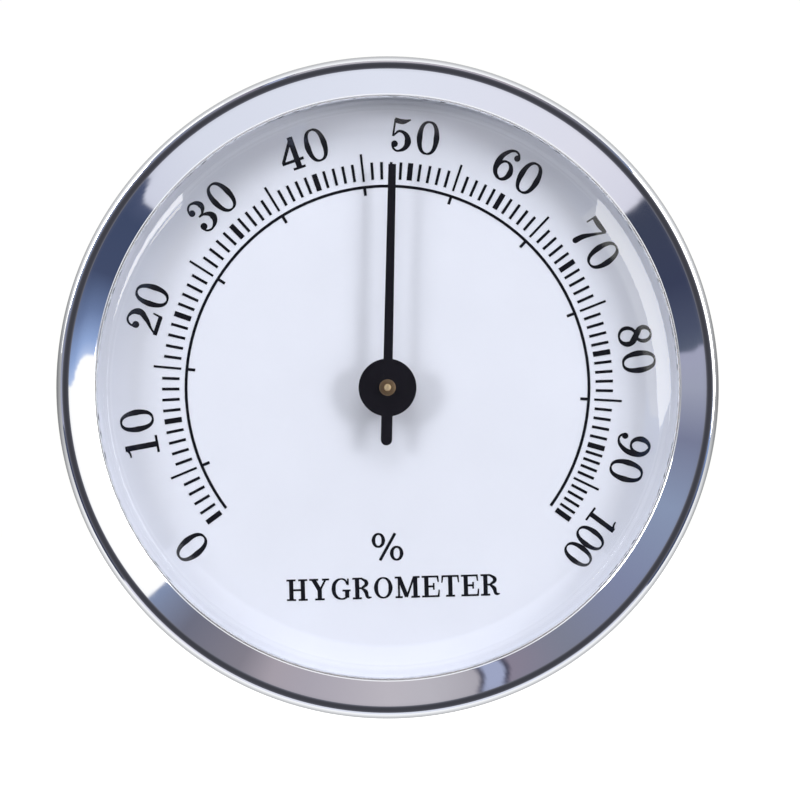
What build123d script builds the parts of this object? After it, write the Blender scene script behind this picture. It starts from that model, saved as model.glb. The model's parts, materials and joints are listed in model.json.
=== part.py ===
from build123d import *
import math
import os

# Dial hygrometer with a coil movement, in millimetres.
# The dial faces -Y and +Z is up. The origin is on the dial's axis, in the plane of the
# flange's rear face, which seats on the panel. Heights are measured from that plane
# towards the front, so a height of 5 is at Y = -5. Dial angles run clockwise from the top.

os.makedirs("parts", exist_ok=True)

# ---- bezel: one sheet, crimped behind the case's flange ----
BEZEL_RADIUS = 28.4
BEZEL_SHEET = 0.5
BEZEL_OPENING = 24.87
FUNNEL_SLOPE = 25.0
RIDGE_BEND = 0.76
LIP_BEND = 0.55
HEM_BEND = 0.6
HEM_INNER_RADIUS = 26.6
LIP_CORNER_HEIGHT = 6.1

# ---- case: a moulded cup with a flange ----
SPIGOT_RADIUS = 24.5
CASE_WALL = 1.2
CASE_DEPTH = 12.0
CASE_FLOOR = 1.4
CASE_REAR_EDGE = 1.2
FLANGE_RADIUS = 27.7
FLANGE_TOP = 1.5
FIT_GAP = 0.05
BOSS_RADIUS = 2.6
BOSS_HEIGHT = 1.2
VENT_WIDTH = 2.2
VENT_SPAN = 28.0
VENT_COUNT = 6
VENT_ROWS = (10.5, 15.5, 20.0)

# ---- dial, spacer and lens ----
DIAL_RADIUS = 27.4
DIAL_THICKNESS = 0.5
DIAL_HOLE = 1.6
SPACER_INNER_RADIUS = 25.4
SPACER_HEIGHT = 2.5
GASKET_HEIGHT = 0.4
GASKET_INNER_RADIUS = 25.6
LENS_FLANGE_RADIUS = 27.3
LENS_FLANGE_TOP = 5.6
LENS_THICKNESS = 0.8
LENS_WALL_RADIUS = 24.72
SHOULDER_RADIUS = 9.5
SHOULDER_CENTRE = 19.15
DOME_RADIUS = 220.0

# ---- printed scale: each knot gives a reading in per cent and its dial angle ----
SCALE_KNOTS = ((0, -126.8), (20, -70.8), (30, -44.0), (90, 105.8), (100, 125.9))
INK = 0.03
ARC_RADIUS = 17.33
ARC_STROKE = 0.25
TICK_INNER_RADIUS = 17.9
TICK_OUTER_RADIUS = 19.4
MINOR_STROKE = 0.24
TEN_STROKE = 0.45
FIVE_INNER_RADIUS = 17.8
FIVE_OUTER_RADIUS = 20.2
FIVE_STROKE = 0.2
INNER_MARK_RADIUS = 16.6
INNER_MARK_STROKE = 0.25
LAST_INNER_MARK = 85

# ---- pointer, at rest near 48 per cent ----
POINTER_ANGLE = 1.2
POINTER_HEIGHT = 3.9
POINTER_THICKNESS = 0.3
POINTER_TIP_RADIUS = 19.2
POINTER_TIP_WIDTH = 0.66
POINTER_ROOT_WIDTH = 0.82
POINTER_HUB_RADIUS = 2.49
POINTER_TAIL_RADIUS = 4.97
POINTER_TAIL_WIDTH = 0.97
COLLET_NECK_RADIUS = 0.71
COLLET_SHOULDER_RADIUS = 1.2
COLLET_BASE_HEIGHT = 3.0
COLLET_TOP_HEIGHT = 4.5

# ---- shaft and its bearings ----
SHAFT_RADIUS = 0.5
SHAFT_TIP_RADIUS = 0.32
SHAFT_REAR = -9.9
SHAFT_STEP = 2.7
SHAFT_TIP = 4.68
RUNNING_GAP = 0.03
BUSH_RADIUS = 1.2
BUSH_FLANGE_RADIUS = 1.9
BUSH_FLANGE_HEIGHT = 0.5
BUSH_REAR = -3.3

# ---- movement frame ----
PLATE_REAR = -9.4
PLATE_THICKNESS = 0.6
PLATE_LENGTH = 37.0
PLATE_WIDTH = 7.0
BASE_SCREW_SPACING = 31.0
PILLAR_SPACING = 21.0
PILLAR_RADIUS = 1.6
PILLAR_SPIGOT_RADIUS = 0.9
BRIDGE_REAR = -2.6
BRIDGE_THICKNESS = 0.8
BRIDGE_LENGTH = 26.0
BRIDGE_WIDTH = 6.0
SCREW_HEAD_RADIUS = 1.5
SCREW_HEAD_HEIGHT = 0.8
SCREW_SHANK_RADIUS = 0.7
SCREW_SLOT_WIDTH = 0.4
SCREW_SLOT_DEPTH = 0.35
BASE_SCREW_LENGTH = 2.2
BRIDGE_SCREW_LENGTH = 2.6

# ---- calibration hub, arm and coil ----
HUB_STEM_RADIUS = 2.5
HUB_FLANGE_RADIUS = 4.2
HUB_FLANGE_REAR = -10.2
HUB_FLANGE_FRONT = -9.45
HUB_JOURNAL_RADIUS = 2.05
HUB_JOURNAL_FRONT = -8.6
HUB_NOSE_RADIUS = 1.6
HUB_NOSE_FRONT = -7.9
HUB_BORE_REAR = -10.0
HUB_SLOT_WIDTH = 0.9
HUB_SLOT_DEPTH = 1.0
WASHER_INNER_RADIUS = 2.75
WASHER_OUTER_RADIUS = 4.6
WASHER_SHEET = 0.15
ARM_REAR = -8.6
ARM_THICKNESS = 0.6
ARM_RING_RADIUS = 3.2
ARM_WIDTH = 2.6
COIL_REAR = -7.2
COIL_WIDTH = 3.0
COIL_SHEET = 0.2
COIL_INNER_RADIUS = 1.75
COIL_PITCH = 0.95
COIL_TURNS = 6
COIL_TAIL = 2.5
STUD_ALONG_TAIL = 1.6
STUD_RADIUS = 0.8
STUD_SPIGOT_RADIUS = 0.6
STUD_FRONT = -3.8
COIL_COLLET_REAR = -7.5
COIL_COLLET_FRONT = -3.5

# A section lies in this plane: its x is the distance from the axis, its y is the height.
SECTION = Plane(origin=(0, 0, 0), x_dir=(1, 0, 0), z_dir=(0, 0, -1))

DIAL_REAR = FLANGE_TOP
DIAL_FRONT = DIAL_REAR + DIAL_THICKNESS
SPACER_TOP = DIAL_FRONT + SPACER_HEIGHT
GASKET_TOP = SPACER_TOP + GASKET_HEIGHT
CASE_INSIDE = CASE_FLOOR - CASE_DEPTH
PLATE_FRONT = PLATE_REAR + PLATE_THICKNESS
BRIDGE_FRONT = BRIDGE_REAR + BRIDGE_THICKNESS
COIL_OUTER_RADIUS = COIL_INNER_RADIUS + COIL_TURNS * COIL_PITCH
STUD_PLACE = (STUD_ALONG_TAIL, -COIL_OUTER_RADIUS)


def face_at(height):
    """The plane across the axis at a height, with X to the right and Z up from the front."""
    return Plane.XZ.offset(height)


def scale_angle(reading):
    """The dial angle of a reading, straight between the scale's knots."""
    for (low, low_angle), (high, high_angle) in zip(SCALE_KNOTS, SCALE_KNOTS[1:]):
        if reading <= high:
            return low_angle + (high_angle - low_angle) * (reading - low) / (high - low)
    raise ValueError("reading is off the scale")


def save(piece, name):
    piece.part.label = name
    export_step(piece.part, f"parts/{name}.step")


def section(outline):
    """A closed outline of (radius, height) corners, as a face ready to be revolved."""
    with BuildSketch(SECTION) as profile:
        with BuildLine():
            Polyline(*outline, close=True)
        make_face()
    return profile.sketch


def slotted_screws(head_height, spacing, length):
    """Two pan-head screws side by side, with their heads resting at head_height."""
    with BuildPart() as screws:
        places = GridLocations(spacing, 0, 2, 1)
        with BuildSketch(face_at(head_height - length)):
            with places:
                Circle(SCREW_SHANK_RADIUS)
        extrude(amount=length)
        with BuildSketch(face_at(head_height)):
            with places:
                Circle(SCREW_HEAD_RADIUS)
        extrude(amount=SCREW_HEAD_HEIGHT)
        chamfer(screws.edges().group_by(Axis.Y)[0], SCREW_HEAD_HEIGHT / 4)
        with BuildSketch(face_at(head_height + SCREW_HEAD_HEIGHT)):
            with places:
                Rectangle(2 * SCREW_HEAD_RADIUS, SCREW_SLOT_WIDTH, rotation=30)
        extrude(amount=-SCREW_SLOT_DEPTH, mode=Mode.SUBTRACT)
    return screws


# ---- bezel ----
ridge_corner_height = LIP_CORNER_HEIGHT + (BEZEL_RADIUS - BEZEL_OPENING) * math.tan(
    math.radians(FUNNEL_SLOPE)
)
with BuildPart() as bezel:
    with BuildSketch(SECTION):
        with BuildLine():
            FilletPolyline(
                (HEM_INNER_RADIUS, 0),
                (BEZEL_RADIUS, 0),
                (BEZEL_RADIUS, ridge_corner_height),
                (BEZEL_OPENING, LIP_CORNER_HEIGHT),
                (BEZEL_OPENING, LENS_FLANGE_TOP),
                radius=[HEM_BEND, RIDGE_BEND, LIP_BEND],
            )
            offset(amount=BEZEL_SHEET, side=Side.LEFT)
        make_face()
    revolve(axis=Axis.Y)
save(bezel, "bezel")

# ---- case ----
with BuildPart() as case:
    revolve(
        section(
            [
                (HUB_STEM_RADIUS + FIT_GAP, -CASE_DEPTH),
                (SPIGOT_RADIUS, -CASE_DEPTH),
                (SPIGOT_RADIUS, 0),
                (HEM_INNER_RADIUS - FIT_GAP, 0),
                (HEM_INNER_RADIUS - FIT_GAP, BEZEL_SHEET),
                (FLANGE_RADIUS, BEZEL_SHEET),
                (FLANGE_RADIUS, FLANGE_TOP),
                (SPIGOT_RADIUS - CASE_WALL, FLANGE_TOP),
                (SPIGOT_RADIUS - CASE_WALL, CASE_INSIDE),
                (HUB_STEM_RADIUS + FIT_GAP, CASE_INSIDE),
            ]
        ),
        axis=Axis.Y,
    )
    rear_edges = case.edges().group_by(Axis.Y)[-1]
    fillet(rear_edges.sort_by(SortBy.RADIUS)[-1], CASE_REAR_EDGE)
    with BuildSketch(face_at(CASE_INSIDE)):
        with GridLocations(BASE_SCREW_SPACING, 0, 2, 1):
            Circle(BOSS_RADIUS)
    extrude(amount=BOSS_HEIGHT)
    with BuildSketch(face_at(PLATE_REAR)):
        with GridLocations(BASE_SCREW_SPACING, 0, 2, 1):
            Circle(SCREW_SHANK_RADIUS + RUNNING_GAP)
    extrude(amount=-(BASE_SCREW_LENGTH - PLATE_THICKNESS + FIT_GAP), mode=Mode.SUBTRACT)
    with BuildSketch(face_at(-CASE_DEPTH)):
        for row in VENT_ROWS:
            for vent in range(VENT_COUNT):
                start = 360 / VENT_COUNT * (vent + 0.5) - VENT_SPAN / 2
                SlotArc(CenterArc((0, 0), row, start, VENT_SPAN, mode=Mode.PRIVATE), VENT_WIDTH)
    extrude(amount=CASE_FLOOR, mode=Mode.SUBTRACT)
save(case, "case")

# ---- dial plate ----
with BuildPart() as dial_plate:
    with BuildSketch(face_at(DIAL_REAR)):
        Circle(DIAL_RADIUS)
        Circle(DIAL_HOLE, mode=Mode.SUBTRACT)
    extrude(amount=DIAL_THICKNESS)
save(dial_plate, "dial_plate")


# ---- printed scale ----
def radial_mark(angle, inner, outer, stroke):
    """One straight mark along a radius, at a dial angle."""
    middle = (inner + outer) / 2
    turn = math.radians(angle)
    with Locations((middle * math.sin(turn), middle * math.cos(turn))):
        Rectangle(stroke, outer - inner, rotation=-angle)


with BuildPart() as scale_print:
    with BuildSketch(face_at(DIAL_FRONT)):
        for reading in range(101):
            if reading % 10 == 0:
                radial_mark(scale_angle(reading), TICK_INNER_RADIUS, TICK_OUTER_RADIUS, TEN_STROKE)
            elif reading % 5 == 0:
                radial_mark(scale_angle(reading), FIVE_INNER_RADIUS, FIVE_OUTER_RADIUS, FIVE_STROKE)
            else:
                radial_mark(scale_angle(reading), TICK_INNER_RADIUS, TICK_OUTER_RADIUS, MINOR_STROKE)
        with BuildLine():
            sweep_angle = scale_angle(100) - scale_angle(0)
            first = 90 - scale_angle(100)
            inner_line = CenterArc((0, 0), ARC_RADIUS - ARC_STROKE / 2, first, sweep_angle)
            outer_line = CenterArc((0, 0), ARC_RADIUS + ARC_STROKE / 2, first, sweep_angle)
            Line(inner_line @ 0, outer_line @ 0)
            Line(inner_line @ 1, outer_line @ 1)
        make_face()
        for reading in range(5, LAST_INNER_MARK + 1, 10):
            radial_mark(scale_angle(reading), INNER_MARK_RADIUS, ARC_RADIUS, INNER_MARK_STROKE)
    extrude(amount=INK)
save(scale_print, "scale_print")

# ---- spacer ring and lens gasket ----
with BuildPart() as spacer_ring:
    with BuildSketch(face_at(DIAL_FRONT)):
        Circle(DIAL_RADIUS)
        Circle(SPACER_INNER_RADIUS, mode=Mode.SUBTRACT)
    extrude(amount=SPACER_HEIGHT)
save(spacer_ring, "spacer_ring")

with BuildPart() as lens_gasket:
    with BuildSketch(face_at(SPACER_TOP)):
        Circle(LENS_FLANGE_RADIUS)
        Circle(GASKET_INNER_RADIUS, mode=Mode.SUBTRACT)
    extrude(amount=GASKET_HEIGHT)
save(lens_gasket, "lens_gasket")

# ---- lens: a shallow dome that runs into a rounded shoulder, on a flat flange ----
shoulder_height = LENS_FLANGE_TOP - math.sqrt(
    SHOULDER_RADIUS**2 - (LENS_WALL_RADIUS - SHOULDER_CENTRE) ** 2
)
dome_height = shoulder_height - math.sqrt(
    (DOME_RADIUS - SHOULDER_RADIUS) ** 2 - SHOULDER_CENTRE**2
)
meeting_angle = math.asin(SHOULDER_CENTRE / (DOME_RADIUS - SHOULDER_RADIUS))


def dome_point(skin, angle):
    """A point on the dome, skin below its outer face, at an angle from the axis."""
    reach = DOME_RADIUS - skin
    return (reach * math.sin(angle), dome_height + reach * math.cos(angle))


def shoulder_point(skin, radius):
    """A point on the shoulder, skin below its outer face, at a radius from the axis."""
    rise = math.sqrt((SHOULDER_RADIUS - skin) ** 2 - (radius - SHOULDER_CENTRE) ** 2)
    return (radius, shoulder_height + rise)


inner_foot = SHOULDER_CENTRE + math.sqrt(
    (SHOULDER_RADIUS - LENS_THICKNESS) ** 2 - (GASKET_TOP - shoulder_height) ** 2
)
inside_meeting = dome_point(LENS_THICKNESS, meeting_angle)
outside_meeting = dome_point(0, meeting_angle)
with BuildPart() as lens:
    with BuildSketch(SECTION):
        with BuildLine():
            Line(dome_point(LENS_THICKNESS, 0), dome_point(0, 0))
            ThreePointArc(dome_point(0, 0), dome_point(0, meeting_angle / 2), outside_meeting)
            ThreePointArc(
                outside_meeting,
                shoulder_point(0, (outside_meeting[0] + LENS_WALL_RADIUS) / 2),
                (LENS_WALL_RADIUS, LENS_FLANGE_TOP),
            )
            Polyline(
                (LENS_WALL_RADIUS, LENS_FLANGE_TOP),
                (LENS_FLANGE_RADIUS, LENS_FLANGE_TOP),
                (LENS_FLANGE_RADIUS, GASKET_TOP),
                (inner_foot, GASKET_TOP),
            )
            ThreePointArc(
                (inner_foot, GASKET_TOP),
                shoulder_point(LENS_THICKNESS, (inside_meeting[0] + inner_foot) / 2),
                inside_meeting,
            )
            ThreePointArc(
                inside_meeting,
                dome_point(LENS_THICKNESS, meeting_angle / 2),
                dome_point(LENS_THICKNESS, 0),
            )
        make_face()
    revolve(axis=Axis.Y)
save(lens, "lens")

# ---- pointer ----
rest_turn = math.radians(POINTER_ANGLE)
pointer_plane = Plane(
    origin=(0, -POINTER_HEIGHT, 0),
    x_dir=(math.cos(rest_turn), 0, -math.sin(rest_turn)),
    z_dir=(0, -1, 0),
)
with BuildPart() as pointer:
    with BuildSketch(pointer_plane):
        Circle(POINTER_HUB_RADIUS)
        with BuildLine():
            Polyline(
                (-POINTER_ROOT_WIDTH / 2, 0),
                (-POINTER_TIP_WIDTH / 2, POINTER_TIP_RADIUS),
                (POINTER_TIP_WIDTH / 2, POINTER_TIP_RADIUS),
                (POINTER_ROOT_WIDTH / 2, 0),
                close=True,
            )
        make_face()
        tail_length = POINTER_TAIL_RADIUS - POINTER_TAIL_WIDTH / 2
        with Locations((0, -tail_length / 2)):
            Rectangle(POINTER_TAIL_WIDTH, tail_length)
        with Locations((0, -tail_length)):
            Circle(POINTER_TAIL_WIDTH / 2)
        Circle(COLLET_NECK_RADIUS, mode=Mode.SUBTRACT)
    extrude(amount=POINTER_THICKNESS)
save(pointer, "pointer")

with BuildPart() as pointer_collet:
    revolve(
        section(
            [
                (SHAFT_TIP_RADIUS, COLLET_BASE_HEIGHT),
                (COLLET_SHOULDER_RADIUS, COLLET_BASE_HEIGHT),
                (COLLET_SHOULDER_RADIUS, POINTER_HEIGHT),
                (COLLET_NECK_RADIUS, POINTER_HEIGHT),
                (COLLET_NECK_RADIUS, COLLET_TOP_HEIGHT),
                (SHAFT_TIP_RADIUS, COLLET_TOP_HEIGHT),
            ]
        ),
        axis=Axis.Y,
    )
save(pointer_collet, "pointer_collet")

# ---- shaft, with a thinner tip that ends in a dome ----
with BuildPart() as pointer_shaft:
    with BuildSketch(face_at(SHAFT_REAR)):
        Circle(SHAFT_RADIUS)
    extrude(amount=SHAFT_STEP - SHAFT_REAR)
    with BuildSketch(face_at(SHAFT_STEP)):
        Circle(SHAFT_TIP_RADIUS)
    extrude(amount=SHAFT_TIP - SHAFT_STEP)
    fillet(pointer_shaft.edges().group_by(Axis.Y)[0], SHAFT_TIP_RADIUS * 0.8)
save(pointer_shaft, "pointer_shaft")

with BuildPart() as front_bush:
    revolve(
        section(
            [
                (SHAFT_RADIUS + RUNNING_GAP, BUSH_REAR),
                (BUSH_RADIUS, BUSH_REAR),
                (BUSH_RADIUS, BRIDGE_FRONT),
                (BUSH_FLANGE_RADIUS, BRIDGE_FRONT),
                (BUSH_FLANGE_RADIUS, BRIDGE_FRONT + BUSH_FLANGE_HEIGHT),
                (SHAFT_RADIUS + RUNNING_GAP, BRIDGE_FRONT + BUSH_FLANGE_HEIGHT),
            ]
        ),
        axis=Axis.Y,
    )
save(front_bush, "front_bush")

# ---- movement frame: base plate, pillars and bridge ----
with BuildPart() as base_plate:
    with BuildSketch(face_at(PLATE_REAR)):
        SlotOverall(PLATE_LENGTH, PLATE_WIDTH)
        Circle(HUB_JOURNAL_RADIUS + FIT_GAP, mode=Mode.SUBTRACT)
        with GridLocations(PILLAR_SPACING, 0, 2, 1):
            Circle(PILLAR_SPIGOT_RADIUS, mode=Mode.SUBTRACT)
        with GridLocations(BASE_SCREW_SPACING, 0, 2, 1):
            Circle(SCREW_SHANK_RADIUS + FIT_GAP, mode=Mode.SUBTRACT)
    extrude(amount=PLATE_THICKNESS)
save(base_plate, "base_plate")

with BuildPart() as bridge_pillars:
    with BuildSketch(face_at(PLATE_REAR)):
        with GridLocations(PILLAR_SPACING, 0, 2, 1):
            Circle(PILLAR_SPIGOT_RADIUS)
    extrude(amount=PLATE_THICKNESS)
    with BuildSketch(face_at(PLATE_FRONT)):
        with GridLocations(PILLAR_SPACING, 0, 2, 1):
            Circle(PILLAR_RADIUS)
    extrude(amount=BRIDGE_REAR - PLATE_FRONT)
    with BuildSketch(face_at(BRIDGE_REAR)):
        with GridLocations(PILLAR_SPACING, 0, 2, 1):
            Circle(SCREW_SHANK_RADIUS + RUNNING_GAP)
    extrude(amount=-(BRIDGE_SCREW_LENGTH - BRIDGE_THICKNESS + FIT_GAP), mode=Mode.SUBTRACT)
save(bridge_pillars, "bridge_pillars")

with BuildPart() as movement_bridge:
    with BuildSketch(face_at(BRIDGE_REAR)):
        SlotOverall(BRIDGE_LENGTH, BRIDGE_WIDTH)
        Circle(BUSH_RADIUS, mode=Mode.SUBTRACT)
        with GridLocations(PILLAR_SPACING, 0, 2, 1):
            Circle(SCREW_SHANK_RADIUS + FIT_GAP, mode=Mode.SUBTRACT)
    extrude(amount=BRIDGE_THICKNESS)
save(movement_bridge, "movement_bridge")

save(slotted_screws(PLATE_FRONT, BASE_SCREW_SPACING, BASE_SCREW_LENGTH), "base_screws")
save(slotted_screws(BRIDGE_FRONT, PILLAR_SPACING, BRIDGE_SCREW_LENGTH), "bridge_screws")

# ---- calibration hub: its slotted end lies flush in the back of the case ----
with BuildPart() as calibration_hub:
    revolve(
        section(
            [
                (0, -CASE_DEPTH),
                (HUB_STEM_RADIUS, -CASE_DEPTH),
                (HUB_STEM_RADIUS, HUB_FLANGE_REAR),
                (HUB_FLANGE_RADIUS, HUB_FLANGE_REAR),
                (HUB_FLANGE_RADIUS, HUB_FLANGE_FRONT),
                (HUB_JOURNAL_RADIUS, HUB_FLANGE_FRONT),
                (HUB_JOURNAL_RADIUS, HUB_JOURNAL_FRONT),
                (HUB_NOSE_RADIUS, HUB_JOURNAL_FRONT),
                (HUB_NOSE_RADIUS, HUB_NOSE_FRONT),
                (SHAFT_RADIUS + RUNNING_GAP, HUB_NOSE_FRONT),
                (SHAFT_RADIUS + RUNNING_GAP, HUB_BORE_REAR),
                (0, HUB_BORE_REAR),
            ]
        ),
        axis=Axis.Y,
    )
    with BuildSketch(face_at(-CASE_DEPTH)):
        Rectangle(2 * HUB_STEM_RADIUS, HUB_SLOT_WIDTH)
    extrude(amount=HUB_SLOT_DEPTH, mode=Mode.SUBTRACT)
save(calibration_hub, "calibration_hub")

# ---- friction washer: a thin dished ring between the case's floor and the hub's flange ----
with BuildPart() as friction_washer:
    washer_front = HUB_FLANGE_REAR - RUNNING_GAP
    revolve(
        section(
            [
                (WASHER_INNER_RADIUS, washer_front - WASHER_SHEET),
                (WASHER_INNER_RADIUS, washer_front),
                (WASHER_OUTER_RADIUS, CASE_INSIDE + WASHER_SHEET),
                (WASHER_OUTER_RADIUS, CASE_INSIDE),
            ]
        ),
        axis=Axis.Y,
    )
save(friction_washer, "friction_washer")

# ---- calibration arm and the stud that clamps the coil's outer end ----
stud_x, stud_z = STUD_PLACE
arm_reach = math.hypot(stud_x, stud_z)
arm_turn = math.degrees(math.atan2(stud_z, stud_x))
with BuildPart() as calibration_arm:
    with BuildSketch(face_at(ARM_REAR)):
        Circle(ARM_RING_RADIUS)
        with Locations((stud_x / 2, stud_z / 2)):
            SlotCenterToCenter(arm_reach, ARM_WIDTH, rotation=arm_turn)
        Circle(HUB_NOSE_RADIUS, mode=Mode.SUBTRACT)
        with Locations(STUD_PLACE):
            Circle(STUD_SPIGOT_RADIUS, mode=Mode.SUBTRACT)
    extrude(amount=ARM_THICKNESS)
save(calibration_arm, "calibration_arm")

with BuildPart() as coil_stud:
    arm_front = ARM_REAR + ARM_THICKNESS
    with BuildSketch(face_at(ARM_REAR)):
        with Locations(STUD_PLACE):
            Circle(STUD_SPIGOT_RADIUS)
    extrude(amount=ARM_THICKNESS)
    with BuildSketch(face_at(arm_front)):
        with Locations(STUD_PLACE):
            Circle(STUD_RADIUS)
    extrude(amount=STUD_FRONT - arm_front)
    with BuildSketch(face_at(COIL_REAR)):
        with Locations(STUD_PLACE):
            Rectangle(2 * STUD_RADIUS, COIL_SHEET)
    extrude(amount=STUD_FRONT - COIL_REAR, mode=Mode.SUBTRACT)
save(coil_stud, "coil_stud")


# ---- humidity coil: half circles about two centres, each wider than the last ----
def coil_edge(shift):
    """One face of the strip, from its inner end to the start of its straight tail."""
    step = COIL_PITCH / 2
    for half_turn in range(2 * COIL_TURNS):
        reach = COIL_INNER_RADIUS + half_turn * step + shift
        if half_turn % 2 == 0:
            CenterArc((0, 0), reach, -90, 180)
        else:
            CenterArc((0, -step), reach, 90, 180)


with BuildPart() as humidity_coil:
    with BuildSketch(face_at(COIL_REAR)):
        with BuildLine():
            half_sheet = COIL_SHEET / 2
            coil_edge(half_sheet)
            coil_edge(-half_sheet)
            Line((0, -COIL_INNER_RADIUS - half_sheet), (0, -COIL_INNER_RADIUS + half_sheet))
            Polyline(
                (0, -COIL_OUTER_RADIUS - half_sheet),
                (COIL_TAIL, -COIL_OUTER_RADIUS - half_sheet),
                (COIL_TAIL, -COIL_OUTER_RADIUS + half_sheet),
                (0, -COIL_OUTER_RADIUS + half_sheet),
            )
        make_face()
    extrude(amount=COIL_WIDTH)
save(humidity_coil, "humidity_coil")

with BuildPart() as coil_collet:
    collet_radius = COIL_INNER_RADIUS - COIL_SHEET / 2 - RUNNING_GAP
    with BuildSketch(face_at(COIL_COLLET_REAR)):
        Circle(collet_radius)
        Circle(SHAFT_RADIUS, mode=Mode.SUBTRACT)
    extrude(amount=COIL_COLLET_FRONT - COIL_COLLET_REAR)
save(coil_collet, "coil_collet")
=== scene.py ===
"""Dial hygrometer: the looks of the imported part, laid out as an add-on with an operator for each piece."""

import json
import math

import bmesh
import bpy
from bpy.props import FloatProperty, FloatVectorProperty, IntProperty, PointerProperty
from bpy.types import Operator, Panel, PropertyGroup
from mathutils import Matrix, Vector


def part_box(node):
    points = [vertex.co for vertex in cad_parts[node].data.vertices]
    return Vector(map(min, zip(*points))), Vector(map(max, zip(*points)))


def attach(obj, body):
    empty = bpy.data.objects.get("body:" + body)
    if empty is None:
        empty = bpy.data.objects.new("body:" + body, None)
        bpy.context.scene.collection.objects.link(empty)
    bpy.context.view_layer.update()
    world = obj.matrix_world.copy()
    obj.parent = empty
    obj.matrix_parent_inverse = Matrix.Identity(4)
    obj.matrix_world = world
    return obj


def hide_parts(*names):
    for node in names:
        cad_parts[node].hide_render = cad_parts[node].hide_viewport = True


bl_info = {
    "name": "Dial hygrometer",
    "version": (1, 0, 0),
    "blender": (4, 5, 0),
    "location": "3D View > Sidebar > Hygrometer",
    "description": "Builds the finished pieces, materials and stage of a dial hygrometer",
    "category": "Object",
}

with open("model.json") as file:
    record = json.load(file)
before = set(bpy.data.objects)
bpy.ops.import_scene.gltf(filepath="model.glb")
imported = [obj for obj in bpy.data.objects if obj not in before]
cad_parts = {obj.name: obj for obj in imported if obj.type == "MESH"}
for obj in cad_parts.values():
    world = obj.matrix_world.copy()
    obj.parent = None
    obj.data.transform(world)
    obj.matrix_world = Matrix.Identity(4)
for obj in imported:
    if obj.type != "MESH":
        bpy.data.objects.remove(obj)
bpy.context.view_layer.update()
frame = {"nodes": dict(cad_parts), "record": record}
BODY_OF = {node: body for body, nodes in frame["record"]["behaviour"]["bodies"].items() for node in nodes}

MM = 0.001
AXIS = Vector((0, 1, 0))
MERGE = 0.0005 * MM
# Faces that meet at more than this angle have a sharp edge between them.
SHARP_ANGLE = math.radians(40)
# Noise masks run between these values, whatever they drive.
MASK_LOW, MASK_HIGH = 0.3, 0.7


def rear(node):
    """The height of a CAD node's rear face above the flange plane, towards the front."""
    return -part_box(node)[1].y


def front(node):
    """The height of a CAD node's front face above the flange plane."""
    return -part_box(node)[0].y


def half_width(node):
    """The radius of a round CAD node about the dial's axis."""
    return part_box(node)[1].x


# ---------------------------------------------------------------- settings


class BezelSettings(PropertyGroup):
    """The pressed sheet of the bezel"""

    sheet: FloatProperty(
        name="Sheet", description="Thickness of the metal", default=0.5 * MM, unit="LENGTH"
    )
    opening: FloatProperty(
        name="Opening",
        description="Radius of the opening round the lens",
        default=24.87 * MM,
        unit="LENGTH",
    )
    slope: FloatProperty(
        name="Slope", description="Slope of the funnel", default=math.radians(25), subtype="ANGLE"
    )
    lip_corner: FloatProperty(
        name="Lip corner",
        description="Height where the funnel meets the lip",
        default=6.1 * MM,
        unit="LENGTH",
    )
    ridge_bend: FloatProperty(
        name="Ridge bend", description="Radius of the bend at the ridge", default=0.76 * MM, unit="LENGTH"
    )
    lip_bend: FloatProperty(
        name="Lip bend", description="Radius of the bend at the lip", default=0.74 * MM, unit="LENGTH"
    )
    crown: FloatProperty(
        name="Crown", description="How far the pressed funnel bulges", default=0.028 * MM, unit="LENGTH"
    )
    hem_bend: FloatProperty(
        name="Hem bend", description="Radius of the bend at the hem", default=0.6 * MM, unit="LENGTH"
    )
    hem_radius: FloatProperty(
        name="Hem radius", description="Inner radius of the hem", default=26.6 * MM, unit="LENGTH"
    )
    cut_edge: FloatProperty(
        name="Cut edge", description="Rounding of the sheet's cut edges", default=0.06 * MM, unit="LENGTH"
    )
    colour: FloatVectorProperty(
        name="Chrome", description="Colour of the plating", default=(0.9, 0.905, 0.92), subtype="COLOR"
    )


class LensSettings(PropertyGroup):
    """The clear domed lens"""

    thickness: FloatProperty(
        name="Thickness", description="Wall of the lens", default=0.8 * MM, unit="LENGTH"
    )
    flange_thickness: FloatProperty(
        name="Flange", description="Thickness of the flange", default=0.7 * MM, unit="LENGTH"
    )
    wall_radius: FloatProperty(
        name="Wall radius",
        description="Radius where the shoulder meets the flange",
        default=24.72 * MM,
        unit="LENGTH",
    )
    shoulder: FloatProperty(
        name="Shoulder", description="Radius of the rounded shoulder", default=9.5 * MM, unit="LENGTH"
    )
    shoulder_centre: FloatProperty(
        name="Shoulder centre",
        description="Distance of its centre from the axis",
        default=19.15 * MM,
        unit="LENGTH",
    )
    dome: FloatProperty(
        name="Dome", description="Radius of the shallow dome", default=220 * MM, unit="LENGTH"
    )


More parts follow.
